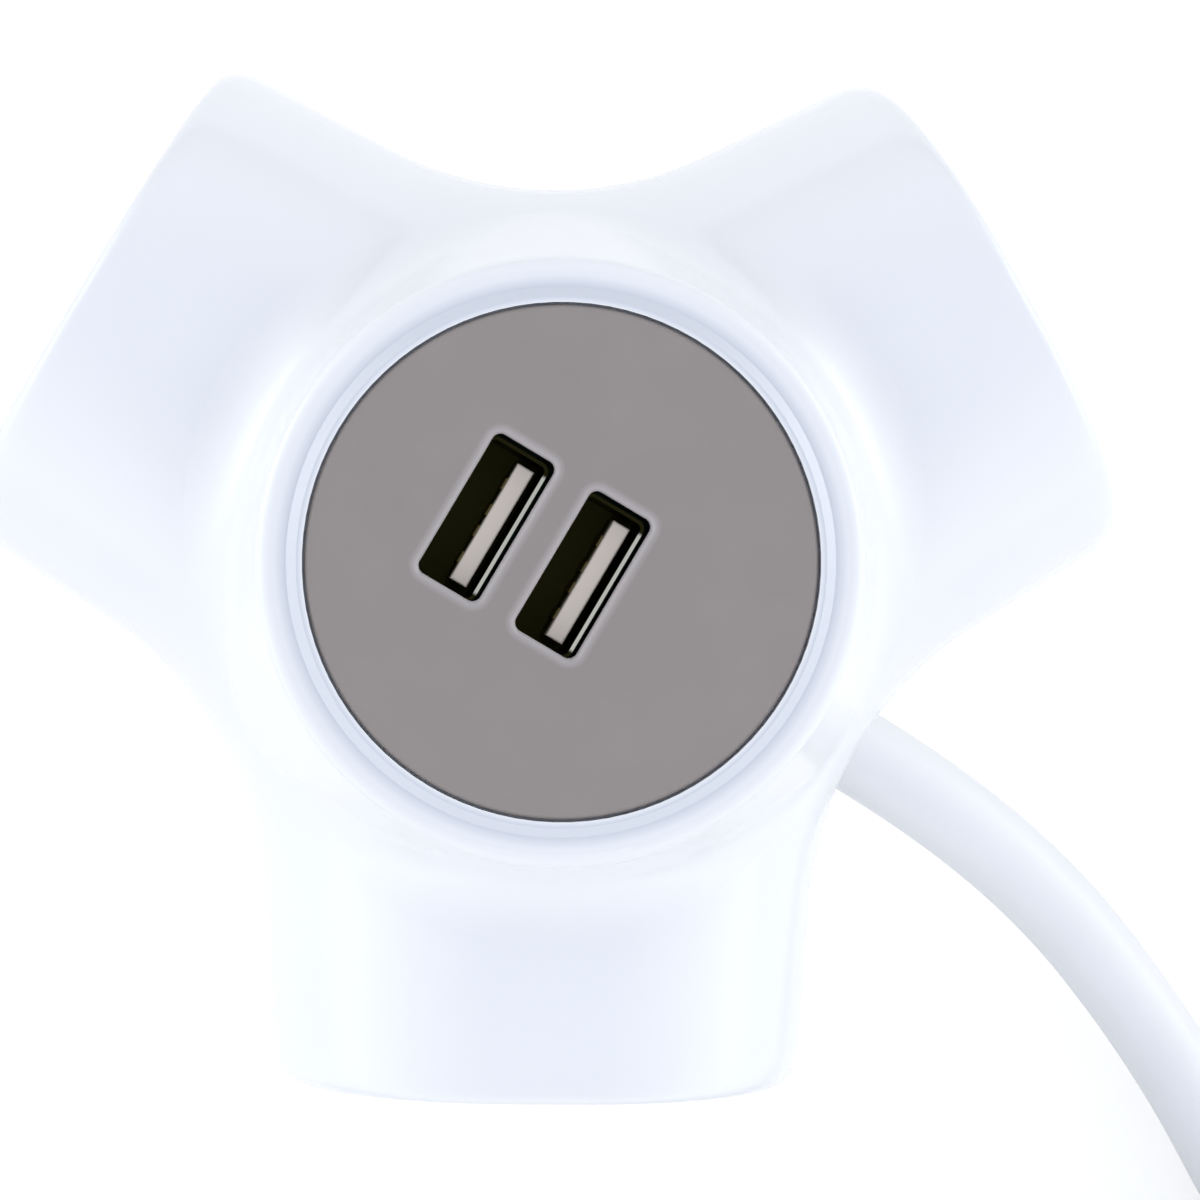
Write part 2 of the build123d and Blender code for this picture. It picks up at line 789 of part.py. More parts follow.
def cord_grommet():
    """Soft sleeve that lines the cord's hole, with a collar inside the wall."""
    face = cord_exit() - wall - entry_depth
    sleeve = cross_rod(cord_radius + grommet_wall - cord_gap, face, cord_exit() + grommet_proud, cord_height)
    collar = cross_rod(cord_radius + grommet_wall + grommet_flange, face - grommet_flange_length, face,
                       cord_height)
    bore = cross_rod(cord_radius + cord_gap, face - 2 * wall, cord_exit() + 2 * wall, cord_height)
    return sleeve + collar - bore


def cord_clamp():
    """Bridge that presses the cord into its saddle."""
    start = sheath_end + clamp_inset
    middle = (start + clamp_end) / 2
    bridge = block(-clamp_half_width, clamp_half_width, start, clamp_end, cord_height + clamp_split,
                   cord_height + clamp_height)
    bridge -= cross_rod(cord_radius + cord_gap, start, clamp_end, cord_height)
    for side in (-1, 1):
        bridge -= post(small_screw_radius + screw_hole_gap, cord_height, cord_height + clamp_height,
                       side * clamp_screw_place, middle)
    return bridge


def clamp_screws():
    middle = (sheath_end + clamp_inset + clamp_end) / 2
    seat = cord_height + clamp_height
    one = Rot(180, 0, 0) * screw(small_screw_radius, small_screw_head_radius, small_screw_head_height,
                                 seat - floor_z - wall)
    return Compound([Pos(side * clamp_screw_place, middle, seat) * one for side in (-1, 1)])


def stub_end(heading, way):
    """Where a straight end of the cord leaves the coil: before it (-1) or after it (1)."""
    x, y = coil_place
    left = on_circle(outer_turn, heading + 90.0)
    along = on_circle(coil_stub, heading)
    return x + left[0] + way * along[0], y + left[1] + way * along[1]


def cord_route():
    """Points of the lead from its clamp to its coil."""
    x, y = stub_end(coil_entry_heading, -1)
    last_run = on_circle(entry_run, coil_entry_heading)
    return [(0.0, sheath_end, cord_height), *lead_bends, (x - last_run[0], y - last_run[1], entry_z),
            (x, y, entry_z)]


def cord_coil():
    """Outer shape of the wound turns, with the two straight ends of the cord."""
    x, y = coil_place
    width = coil_columns * cord_diameter
    tall = coil_layers * cord_diameter
    section = Pos(coil_radius, coil_z + tall / 2) * RectangleRounded(width, tall, coil_edge)
    ring = Pos(x, y, 0) * revolve(Plane.XZ * section, Axis.Z)
    for heading, way, height in ((coil_entry_heading, -1, entry_z), (coil_exit_heading, 1, exit_z)):
        end_x, end_y = stub_end(heading, way)
        inward = on_circle(-way, heading)
        plane = Plane(origin=(end_x, end_y, height), z_dir=(*inward, 0))
        ring += extrude(plane * Circle(cord_radius), coil_stub)
    return ring


def cord_tie():
    """Flat band round the turns."""
    x, y = coil_place
    width = coil_columns * cord_diameter
    height = coil_layers * cord_diameter
    around = Pos(coil_radius, coil_z + height / 2)
    band = around * RectangleRounded(width + 2 * tie_thickness, height + 2 * tie_thickness,
                                     coil_edge + tie_thickness)
    band -= around * RectangleRounded(width, height, coil_edge)
    sweep_angle = 57.3 * tie_width / coil_radius
    return Pos(x, y, 0) * turned(revolve(Plane.XZ * band, Axis.Z, sweep_angle), tie_angle)


def plug_rear():
    """Where the cord enters the plug, which rests on the back edge of its face part."""
    tilt = radians(plug_tilt)
    back = plug_tail_length + plug_grip_length
    rear_z = plug_face_radius * cos(tilt) - back * sin(tilt)
    run = (rear_z - exit_z) / tan(tilt)
    x, y = stub_end(coil_exit_heading, 1)
    along = on_circle(2 * run, coil_exit_heading)
    return x + along[0], y + along[1], rear_z


def cord_tail():
    """Short end of the lead between its coil and its plug."""
    x, y = stub_end(coil_exit_heading, 1)
    rear = plug_rear()
    middle = ((x + rear[0]) / 2, (y + rear[1]) / 2, exit_z)
    return tube([(x, y, exit_z), middle, rear], cord_radius)


def placed_plug(piece):
    """Takes a piece that was drawn along +X from the cord's end to where the plug lies."""
    return Pos(*plug_rear()) * Rot(0, 0, coil_exit_heading) * Rot(0, -plug_tilt, 0) * piece


def plug_face_place():
    return plug_tail_length + plug_grip_length + plug_face_depth


def plug_body():
    """Moulded plug: sleeve for the cord, waisted grip and round face part with flats and grooves."""
    grip_start_x = plug_tail_length
    back = plug_tail_length + plug_grip_length
    face = plug_face_place()
    outline = Polyline((0, 0), (0, plug_tail_radius), (grip_start_x, plug_neck_radius))
    grip = Spline((grip_start_x, plug_neck_radius), (grip_start_x + plug_grip_length / 2, plug_grip_radius),
                  (back, plug_face_radius), tangents=((1, 0.3), (1, 0.25)))
    front = Polyline((back, plug_face_radius), (face, plug_face_radius), (face, 0), (0, 0))
    profile = make_face([*outline.edges(), *grip.edges(), *front.edges()])
    body = revolve(profile, Axis.X)
    rim = [edge for edge in body.edges() if edge.geom_type == GeomType.CIRCLE
           and abs((edge @ 0).X - face) < 0.01]
    body = fillet(rim, plug_edge_round)
    pitch = plug_tail_length / (plug_sleeve_grooves + 1)
    core = cord_radius + (plug_tail_radius - cord_radius) / 2
    for number in range(plug_sleeve_grooves):
        start = (number + 0.7) * pitch
        slice_plane = Plane(origin=(start, 0, 0), z_dir=(1, 0, 0))
        body -= extrude(slice_plane * (Circle(plug_face_radius) - Circle(core)), plug_sleeve_groove)
    reach = 2 * plug_face_radius
    half_groove = plug_groove_width / 2
    for side in (-1, 1):
        flat = side * plug_flat
        body -= block(back, face + 1, min(flat, side * reach), max(flat, side * reach), -reach, reach)
        depth = side * (plug_face_radius - plug_groove_depth)
        body -= block(back, face + 1, -half_groove, half_groove, min(depth, side * reach),
                      max(depth, side * reach))
    for side in (-1, 1):
        plane = Plane(origin=(face, 0, side * pin_pitch / 2), z_dir=(1, 0, 0))
        body -= extrude(plane * Circle(pin_radius), -pin_length / 2)
    return body


def plug_pins():
    """Two round pins, seated half their length deep in the face."""
    face = plug_face_place()
    pins = []
    for side in (-1, 1):
        plane = Plane(origin=(face - pin_length / 2, 0, side * pin_pitch / 2), z_dir=(1, 0, 0))
        pin = extrude(plane * Circle(pin_radius), 1.5 * pin_length)
        pins.append(fillet(pin.edges().sort_by(Axis.X)[-1], pin_tip_round))
    return Compound(pins)


def plug_earth_contacts():
    """Flat earth strips on the two flats of the face part."""
    back = plug_tail_length + plug_grip_length
    face = plug_face_place()
    half = plug_strip_width / 2
    outer = plug_flat + plug_strip_thickness
    strips = []
    for side in (-1, 1):
        y0, y1 = sorted((side * plug_flat, side * outer))
        strips.append(block(back + plug_strip_inset, face - plug_strip_inset, y0, y1, -half, half))
    return Compound(strips)


nodes = {
    "upper_housing": upper_housing(),
    "lower_housing": lower_housing(),
    "base_pad": base_pad(),
    "housing_screws": housing_screws(),
    "live_busbar": live_busbar(),
    "neutral_busbar": neutral_busbar(),
    "earth_busbar": earth_busbar(),
    "bus_spacer_lower": bus_spacer(neutral_plate_z + bar_thickness, earth_plate_z),
    "bus_spacer_upper": bus_spacer(earth_plate_z + bar_thickness, live_plate_z),
    "bus_cover": bus_cover(),
    "bus_screw": bus_screw(),
    "live_lead": charger_lead("live", live_plate_z),
    "neutral_lead": charger_lead("neutral", neutral_plate_z),
    "usb_plate": usb_plate(),
    "usb_board": usb_board(),
    "board_screws": board_screws(),
    "transformer": transformer(),
    "input_capacitor": capacitor(input_capacitor_place, input_capacitor_radius, input_capacitor_height),
    "output_capacitor": capacitor(output_capacitor_place, output_capacitor_radius, output_capacitor_height),
    "live_wire": live_wire(),
    "neutral_wire": neutral_wire(),
    "earth_wire": earth_wire(),
    "cord_grommet": cord_grommet(),
    "cord_clamp": cord_clamp(),
    "clamp_screws": clamp_screws(),
    "cord": tube(cord_route(), cord_radius),
    "cord_coil": cord_coil(),
    "cord_tie": cord_tie(),
    "cord_tail": cord_tail(),
    "plug_body": placed_plug(plug_body()),
    "plug_pins": placed_plug(plug_pins()),
    "plug_earth_contacts": placed_plug(plug_earth_contacts()),
}
for side, angle in arm_angles.items():
    nodes[f"socket_insert_{side}"] = turned(socket_insert(), angle)
    nodes[f"earth_strap_{side}"] = turned(earth_strap(), angle)
for side, place in port_places().items():
    nodes[f"usb_shell_{side}"] = in_port(usb_shell(), place)
    nodes[f"usb_tongue_{side}"] = in_port(usb_tongue(), place)
    nodes[f"usb_contacts_{side}"] = in_port(usb_contacts(), place)

print("cord radii", [round(radius, 1) for radius in route_radii(cord_route())])
os.makedirs("parts", exist_ok=True)
for name, solid in nodes.items():
    export_step(solid, f"parts/{name}.step")
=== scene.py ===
from math import cos, pi, radians, sin

import bmesh
import bpy
from mathutils import Matrix, Vector

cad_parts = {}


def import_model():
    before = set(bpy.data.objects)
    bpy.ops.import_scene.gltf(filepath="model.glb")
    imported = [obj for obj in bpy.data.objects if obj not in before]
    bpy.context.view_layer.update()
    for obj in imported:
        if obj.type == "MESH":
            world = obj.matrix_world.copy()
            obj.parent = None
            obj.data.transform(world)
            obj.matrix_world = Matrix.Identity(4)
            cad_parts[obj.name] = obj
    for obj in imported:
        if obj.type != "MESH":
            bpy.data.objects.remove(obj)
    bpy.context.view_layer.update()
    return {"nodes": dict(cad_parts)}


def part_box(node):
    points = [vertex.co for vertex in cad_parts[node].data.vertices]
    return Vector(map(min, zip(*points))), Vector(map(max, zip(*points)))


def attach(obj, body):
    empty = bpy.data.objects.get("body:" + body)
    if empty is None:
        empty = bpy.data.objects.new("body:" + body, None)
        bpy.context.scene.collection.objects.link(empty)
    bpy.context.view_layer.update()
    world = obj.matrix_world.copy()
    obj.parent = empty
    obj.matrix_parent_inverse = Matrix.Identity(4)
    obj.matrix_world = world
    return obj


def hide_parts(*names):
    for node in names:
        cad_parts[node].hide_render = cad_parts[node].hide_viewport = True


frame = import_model()
nodes = frame["nodes"]
scene = bpy.context.scene
scene.view_settings.view_transform = "Standard"

MM = 0.001

# Ports, in millimetres, as in the part's source, with the window's size to 0.1
SHELL_X = 0.3
PORT_MIDDLE = -2.6
PORT_PITCH = 9.2
WINDOW = (13.2, 5.8)
WINDOW_CORNER = 0.8

# Painted shade on the ports and round the plate, and a painted highlight round the windows in the
# plate, in millimetres
EDGE_REACH = 5.4
EDGE_FADE = 0.3
PORT_SHADE_FROM = 51.5
PORT_SHADE_FULL = 48.5
HIGHLIGHT_BAND = 0.9
# Radii at which the shade of the lip begins, is full, begins to fade and has gone
LIP_SHADE = (21.3, 21.7, 22.5, 23.6)
# Heights between which it begins
LIP_SHADE_Z = (51.0, 52.0)

# Cord and its route, in millimetres and degrees, as in the part's source
CORD_RADIUS = 3.9
CORD_DIAMETER = 2 * CORD_RADIUS
SHEATH_END = (0.0, 22.0, 13.0)
LEAD_BENDS = [(0.0, 34.5, 13.0), (0.65, 47.0, 12.0), (2.75, 58.5, 9.6), (6.7, 69.5, 7.0),
              (11.4, 79.5, 5.3)]
COIL_PLACE = (73.4, 103.6)
COIL_RADIUS = 39.9
COIL_STUB = 27.5
ENTRY_HEADING = 63.4
EXIT_HEADING = -90.0
ENTRY_RUN = 11.5
ENTRY_Z = 4.8
PLUG_REAR_Z = 13.6
# How far the cord goes into the plug, in millimetres
PLUG_ENTRY = 1.5
# Fineness of its mesh, round it and along it
CORD_SIDES = 7
CORD_STEPS = 6

# Surfaces
# Strength of the painted highlight round the port windows
HIGHLIGHT_STRENGTH = 0.95
COAT_ROUGHNESS = 0.12
ROUGHNESS_DRIFT = 0.15
DRIFT_RANGE = (0.3, 0.7)
GRAIN_HEIGHT = 0.4 * MM
# Upward part of the normal on a sheared edge and on a wall, between which the painted shade on a
# port shell's walls comes in
EDGE_FACING, WALL_FACING = 0.9, 0.5
STRIPE_SCALE = 160.0
STRIPE_EDGE = (0.55, 0.65)


def node_tree(material):
    material.use_nodes = True
    tree = material.node_tree
    tree.nodes.clear()
    return tree


def link(tree, a, b):
    tree.links.new(a, b)


def add(tree, kind, **values):
    """New shader node, with values for its inputs or else for its settings."""
    node = tree.nodes.new(kind)
    for name, value in values.items():
        if name in node.inputs:
            node.inputs[name].default_value = value
        else:
            setattr(node, name, value)
    return node


def surface(name, colour, roughness, metallic=0.0, vary=0.03, scale=60.0, bump=0.02, grain=900.0,
            stretch=(1.0, 1.0, 1.0), coat=0.0, spec=0.5, sheen=0.0):
    """Moulded, plated or stamped surface: slow colour drift, uneven gloss and a fine grain."""
    material = bpy.data.materials.new(name)
    tree = node_tree(material)
    out = add(tree, "ShaderNodeOutputMaterial")
    shader = add(tree, "ShaderNodeBsdfPrincipled")
    shader.inputs["Metallic"].default_value = metallic
    shader.inputs["Coat Weight"].default_value = coat
    shader.inputs["Coat Roughness"].default_value = COAT_ROUGHNESS
    shader.inputs["Specular IOR Level"].default_value = spec
    shader.inputs["Sheen Weight"].default_value = sheen
    place = add(tree, "ShaderNodeTexCoord")
    turn = add(tree, "ShaderNodeMapping")
    turn.inputs["Scale"].default_value = stretch
    link(tree, place.outputs["Object"], turn.inputs["Vector"])
    drift = add(tree, "ShaderNodeTexNoise", Scale=scale, Detail=3.0)
    link(tree, turn.outputs["Vector"], drift.inputs["Vector"])
    ramp = add(tree, "ShaderNodeValToRGB")
    low = [max(0.0, channel * (1.0 - vary)) for channel in colour]
    high = [min(1.0, channel * (1.0 + vary)) for channel in colour]
    for stop, position, shade in zip(ramp.color_ramp.elements, DRIFT_RANGE, (low, high)):
        stop.position = position
        stop.color = (*shade, 1.0)
    link(tree, drift.outputs["Fac"], ramp.inputs["Fac"])
    link(tree, ramp.outputs["Color"], shader.inputs["Base Color"])
    gloss = add(tree, "ShaderNodeMapRange")
    gloss.inputs["To Min"].default_value = roughness * (1.0 - ROUGHNESS_DRIFT)
    gloss.inputs["To Max"].default_value = min(1.0, roughness * (1.0 + ROUGHNESS_DRIFT))
    link(tree, drift.outputs["Fac"], gloss.inputs["Value"])
    link(tree, gloss.outputs["Result"], shader.inputs["Roughness"])
    fine = add(tree, "ShaderNodeTexNoise", Scale=grain, Detail=2.0)
    link(tree, turn.outputs["Vector"], fine.inputs["Vector"])
    relief = add(tree, "ShaderNodeBump", Strength=bump, Distance=GRAIN_HEIGHT)
    link(tree, fine.outputs["Fac"], relief.inputs["Height"])
    link(tree, relief.outputs["Normal"], shader.inputs["Normal"])
    link(tree, shader.outputs["BSDF"], out.inputs["Surface"])
    return material


def maths(tree, operation, first, second=0.0):
    """Output of a maths node, each of whose inputs is a socket or a number."""
    node = add(tree, "ShaderNodeMath", operation=operation)
    for socket, value in zip(node.inputs, (first, second)):
        if isinstance(value, float):
            socket.default_value = value
        else:
            link(tree, value, socket)
    return node.outputs["Value"]


def rise(tree, value, start, end):
    """From 0 where the value is at its start to 1 where it is at its end."""
    node = add(tree, "ShaderNodeMapRange")
    node.inputs["From Min"].default_value = start
    node.inputs["From Max"].default_value = end
    link(tree, value, node.inputs["Value"])
    return node.outputs["Result"]


def place_of(tree):
    """Sockets of a point's X, Y and Z on the part, in metres."""
    split = add(tree, "ShaderNodeSeparateXYZ")
    link(tree, add(tree, "ShaderNodeTexCoord").outputs["Object"], split.inputs["Vector"])
    return split.outputs


def overlay(material, colour, mask):
    """Lays a second colour over a surface, as far as the mask says."""
    tree = material.node_tree
    shader = next(node for node in tree.nodes if node.type == "BSDF_PRINCIPLED")
    under = shader.inputs["Base Color"].links[0].from_socket
    mixed = add(tree, "ShaderNodeMix", data_type="RGBA")
    mixed.inputs["B"].default_value = (*colour, 1.0)
    link(tree, mask(tree), mixed.inputs["Factor"])
    link(tree, under, mixed.inputs["A"])
    link(tree, mixed.outputs["Result"], shader.inputs["Base Color"])


def shaded_shell_walls(tree):
    """Painted shade on all of a port shell but its sheared edges, which look up."""
    split = add(tree, "ShaderNodeSeparateXYZ")
    link(tree, add(tree, "ShaderNodeNewGeometry").outputs["Normal"], split.inputs["Vector"])
    return rise(tree, split.outputs["Z"], EDGE_FACING, WALL_FACING)


def shaded_shell_ends(tree):
    """Painted shade on the two short ends of a port shell."""
    along = maths(tree, "ABSOLUTE", maths(tree, "SUBTRACT", place_of(tree)["X"], SHELL_X * MM))
    return rise(tree, along, EDGE_REACH * MM, (EDGE_REACH + EDGE_FADE) * MM)


def port_depth_shade(tree):
    """Painted shade on the inside of a port, below the tips of its tongue."""
    return rise(tree, place_of(tree)["Z"], PORT_SHADE_FROM * MM, PORT_SHADE_FULL * MM)


def past_edge(tree, value, edge):
    """How far a value lies past an edge, or 0 before it."""
    past = maths(tree, "SUBTRACT", maths(tree, "ABSOLUTE", value), edge * MM)
    return maths(tree, "MAXIMUM", past, 0.0)


def length_of(tree, x, y):
    squares = [maths(tree, "MULTIPLY", value, value) for value in (x, y)]
    return maths(tree, "SQRT", maths(tree, "ADD", *squares))


def window_edge_highlight(tree):
    """Painted highlight in a narrow band round both port windows, strongest at the edge."""
    place = place_of(tree)
    middle = maths(tree, "ABSOLUTE", maths(tree, "SUBTRACT", place["Y"], PORT_MIDDLE * MM))
    along = maths(tree, "SUBTRACT", middle, PORT_PITCH / 2 * MM)
    past_x = past_edge(tree, place["X"], WINDOW[0] / 2 - WINDOW_CORNER)
    past_y = past_edge(tree, along, WINDOW[1] / 2 - WINDOW_CORNER)
    past = length_of(tree, past_x, past_y)
    highlight = rise(tree, past, (WINDOW_CORNER + HIGHLIGHT_BAND) * MM, WINDOW_CORNER * MM)
    return maths(tree, "MULTIPLY", highlight, HIGHLIGHT_STRENGTH)


def lip_shade(tree):
    """The narrow step round the plate, which less light reaches."""
    place = place_of(tree)
    radius = length_of(tree, place["X"], place["Y"])
    inner = rise(tree, radius, LIP_SHADE[0] * MM, LIP_SHADE[1] * MM)
    outer = rise(tree, radius, LIP_SHADE[3] * MM, LIP_SHADE[2] * MM)
    raised = rise(tree, place["Z"], LIP_SHADE_Z[0] * MM, LIP_SHADE_Z[1] * MM)
    return maths(tree, "MULTIPLY", maths(tree, "MULTIPLY", inner, outer), raised)


def stripes(tree):
    """Slanting bands of the earth wire's second colour."""
    wave = add(tree, "ShaderNodeTexWave", Scale=STRIPE_SCALE, bands_direction="DIAGONAL")
    link(tree, add(tree, "ShaderNodeTexCoord").outputs["Object"], wave.inputs["Vector"])
    return rise(tree, wave.outputs["Fac"], *STRIPE_EDGE)


def dress(material, *names):
    """Gives the part's own pieces their surface."""
    for name in names:
        piece = nodes[name]
        piece.data.materials.clear()
        piece.data.materials.append(material)


housing = surface("white_housing", (0.86, 0.875, 0.905), 0.22, vary=0.008, bump=0.01, coat=0.25)
overlay(housing, (0.66, 0.69, 0.76), lip_shade)
insert = surface("white_insert", (0.84, 0.85, 0.865), 0.35, vary=0.01, bump=0.03)
plate = surface("grey_plate", (0.295, 0.262, 0.248), 0.42, vary=0.02, scale=200.0, bump=0.04,
                grain=3200.0)
# Painted highlight round the port windows in the plate
overlay(plate, (0.47, 0.44, 0.455), window_edge_highlight)
steel = surface("port_steel", (0.90, 0.84, 0.64), 0.28, metallic=1.0, vary=0.05,
                stretch=(1.0, 1.0, 8.0))
# Painted shade on the walls of the port shells
overlay(steel, (0.085, 0.08, 0.01), shaded_shell_walls)
# Painted shade, darker still, on the short ends of the port shells
overlay(steel, (0.025, 0.022, 0.006), shaded_shell_ends)
zinc = surface("screw_zinc", (0.58, 0.58, 0.60), 0.33, metallic=1.0, vary=0.06, scale=300.0)
nickel = surface("pin_nickel", (0.78, 0.76, 0.72), 0.16, metallic=1.0, vary=0.03,
                 stretch=(6.0, 1.0, 6.0))
brass = surface("bar_brass", (0.79, 0.60, 0.29), 0.27, metallic=1.0, vary=0.06, scale=120.0)
# Contacts' gilt is dark in its colour: painted shade for the dim inside of the ports
shaded_gilt = surface("contact_gilt", (0.20, 0.15, 0.05), 0.35, metallic=1.0, vary=0.04, scale=200.0)
tongue = surface("tongue_white", (0.74, 0.66, 0.575), 0.5, vary=0.02, bump=0.05, spec=0.1)
# Painted shade darkens the tongue deep in the port
overlay(tongue, (0.07, 0.063, 0.006), port_depth_shade)
grey = surface("grey_insulator", (0.12, 0.125, 0.14), 0.5, vary=0.06, bump=0.08)
board = surface("green_board", (0.02, 0.12, 0.05), 0.3, vary=0.25, scale=420.0, bump=0.1)
ferrite = surface("dark_core", (0.03, 0.03, 0.033), 0.55, vary=0.3, scale=500.0, bump=0.15)
can = surface("sleeved_can", (0.50, 0.51, 0.54), 0.3, metallic=0.8, vary=0.05,
              stretch=(1.0, 1.0, 6.0))
rubber = surface("pad_rubber", (0.03, 0.03, 0.032), 0.8, vary=0.2, scale=350.0, bump=0.3,
                 grain=1500.0)
sheath = surface("white_sheath", (0.88, 0.89, 0.91), 0.38, vary=0.015, scale=90.0, bump=0.05,
                 grain=700.0)
moulded = surface("white_plug", (0.86, 0.87, 0.89), 0.42, vary=0.015, bump=0.08, grain=1600.0)
brown = surface("brown_wire", (0.09, 0.03, 0.012), 0.45, vary=0.1)
blue = surface("blue_wire", (0.015, 0.05, 0.30), 0.45, vary=0.1)
earth = surface("earth_wire", (0.05, 0.26, 0.04), 0.45, vary=0.08)
overlay(earth, (0.72, 0.55, 0.02), stripes)
band = surface("tie_band", (0.72, 0.72, 0.74), 0.85, vary=0.08, scale=900.0, bump=0.4,
               grain=1800.0, sheen=0.4)

dress(housing, "upper_housing", "lower_housing")
dress(plate, "usb_plate")
dress(steel, "usb_shell_front", "usb_shell_rear")
dress(tongue, "usb_tongue_front", "usb_tongue_rear")
dress(shaded_gilt, "usb_contacts_front", "usb_contacts_rear")
dress(brass, "live_busbar", "neutral_busbar", "earth_busbar", "plug_earth_contacts")
dress(grey, "bus_spacer_lower", "bus_spacer_upper", "bus_cover", "cord_clamp")
dress(board, "usb_board")
dress(ferrite, "transformer")
dress(can, "input_capacitor", "output_capacitor")
dress(rubber, "base_pad")
dress(sheath, "cord_grommet")
dress(moulded, "plug_body")
dress(nickel, "plug_pins")
dress(brown, "live_wire", "live_lead")
dress(blue, "neutral_wire", "neutral_lead")
dress(earth, "earth_wire")
dress(band, "cord_tie")
for side in ("front", "right", "left"):
    dress(insert, f"socket_insert_{side}")
    dress(brass, f"earth_strap_{side}")


# Points of one screw are nearer to each other, and those of its tip to its end, in millimetres
SCREW_APART = 6.0
TIP_NEAR = 0.1
# Points further out than this share of the head's radius are the head's
HEAD_REACH = 0.95
# Head's edge and the depth of its cross, as shares of the head's height
HEAD_EDGE = 0.3
CROSS_DEPTH = 0.65
# Cross, as shares of the head's radius, and how much of it is left at its bottom
CROSS_REACH = 0.58
CROSS_HALF_WIDTH = 0.14
CROSS_TAPER = 0.5
# Thread and tip, as shares of the shank's radius
THREAD_PITCH = 0.75
THREAD_DEPTH = 0.22
TIP_LENGTH = 1.2
TIP_WIDTH = 0.35
# Share of the thread's length over which it deepens
THREAD_RUN_IN = 0.25
# Points round a screw, rows of them in a pitch, and the angle up to which faces shade as one
ROUND = 24
ROWS_A_PITCH = 6
SMOOTH_TO = radians(35.0)


def screw_groups(name):
    """Mesh points of each screw in a node, in metres."""
    groups = []
    piece = nodes[name]
    for vertex in piece.data.vertices:
        point = piece.matrix_world @ vertex.co
        near = [group for group in groups if (group[0].xy - point.xy).length < SCREW_APART * MM]
        if near:
            near[0].append(point)
        else:
            groups.append([point])
    return groups


def screw_sizes(points):
    """Axis, seat and sizes of one screw: its head is at its wider end."""
    middle = Vector([(min(p[i] for p in points) + max(p[i] for p in points)) / 2 for i in range(2)])
    reach = [(point.xy - middle).length for point in points]
    head_radius = max(reach)
    heads = [point.z for point, far in zip(points, reach) if far > HEAD_REACH * head_radius]
    heights = [point.z for point in points]
    up = max(heights) - max(heads) > min(heads) - min(heights)
    seat, top = (max(heads), min(heads)) if up else (min(heads), max(heads))
    tip = max(heights) if up else min(heights)
    shank_radius = max(far for point, far in zip(points, reach)
                       if abs(point.z - tip) < TIP_NEAR * MM)
    way = 1.0 if up else -1.0
    return middle, seat, abs(top - seat), abs(tip - seat), head_radius, shank_radius, way


def on_circle(radius, number, height):
    angle = 2 * pi * number / ROUND
    return radius * cos(angle), radius * sin(angle), height


def ring(mesh, radius, height):
    return [mesh.verts.new(on_circle(radius, i, height)) for i in range(ROUND)]


def bridge(mesh, first, second):
    """Faces between two loops of as many points."""
    count = len(first)
    for i in range(count):
        after = (i + 1) % count
        mesh.faces.new((first[i], first[after], second[after], second[i]))


def cross_outline(mesh, reach, half, height):
    """Loop of the twelve corners of a cross."""
    corners = []
    for quarter in range(4):
        turn = Matrix.Rotation(quarter * pi / 2, 2)
        corners += [turn @ Vector(place) for place in ((reach, -half), (reach, half), (half, half))]
    return [mesh.verts.new((x, y, height)) for x, y in corners]


def thread(mesh, neck, radius, length):
    """Helical thread from the neck to the tip, inside the solid's own radius."""
    pitch = THREAD_PITCH * radius
    run = length - TIP_LENGTH * radius
    count = round(run / pitch * ROWS_A_PITCH)
    last = neck
    for row in range(1, count + 1):
        height = run * row / count
        share = min(1.0, row / count / THREAD_RUN_IN)
        turns = []
        for i in range(ROUND):
            phase = (height / pitch + i / ROUND) % 1.0
            depth = THREAD_DEPTH * radius * abs(2.0 * phase - 1.0) * share
            turns.append(mesh.verts.new(on_circle(radius - depth, i, height)))
        bridge(mesh, last, turns)
        last = turns
    end = ring(mesh, TIP_WIDTH * radius, length)
    bridge(mesh, last, end)
    mesh.faces.new(end)


def add_screw(mesh, points):
    """Pan head with a cross recess, and a threaded shank."""
    middle, seat, head, length, head_radius, radius, way = screw_sizes(points)
    start = len(mesh.verts)
    edge = HEAD_EDGE * head
    rim = ring(mesh, head_radius - edge, -head)
    side = ring(mesh, head_radius, edge - head)
    under = ring(mesh, head_radius, 0.0)
    neck = ring(mesh, radius, 0.0)
    bridge(mesh, rim, side)
    bridge(mesh, side, under)
    bridge(mesh, under, neck)
    thread(mesh, neck, radius, length)
    reach, half = CROSS_REACH * head_radius, CROSS_HALF_WIDTH * head_radius
    mouth = cross_outline(mesh, reach, half, -head)
    bottom = cross_outline(mesh, CROSS_TAPER * reach, CROSS_TAPER * half, CROSS_DEPTH * head - head)
    bridge(mesh, mouth, bottom)
    mesh.faces.new(bottom)
    loops = [mesh.edges.get((loop[i - 1], loop[i])) for loop in (rim, mouth)
             for i in range(len(loop))]
    bmesh.ops.triangle_fill(mesh, edges=loops, use_beauty=True)
    mesh.verts.ensure_lookup_table()
    upright = Matrix.Diagonal((1.0, way, way, 1.0))
    place = Matrix.Translation((middle.x, middle.y, seat)) @ upright
    bmesh.ops.transform(mesh, matrix=place, verts=mesh.verts[start:])


def screws(name):
    """Detailed screws in place of a node's plain ones."""
    mesh = bmesh.new()
    for points in screw_groups(name):
        add_screw(mesh, points)
    bmesh.ops.recalc_face_normals(mesh, faces=mesh.faces)
    data = bpy.data.meshes.new(name + "_detail")
    mesh.to_mesh(data)
    mesh.free()
    data.polygons.foreach_set("use_smooth", [True] * len(data.polygons))
    data.set_sharp_from_angle(angle=SMOOTH_TO)
    data.materials.append(zinc)
    piece = bpy.data.objects.new(name + "_detail", data)
    scene.collection.objects.link(piece)
    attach(piece, "root")
    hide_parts(name)


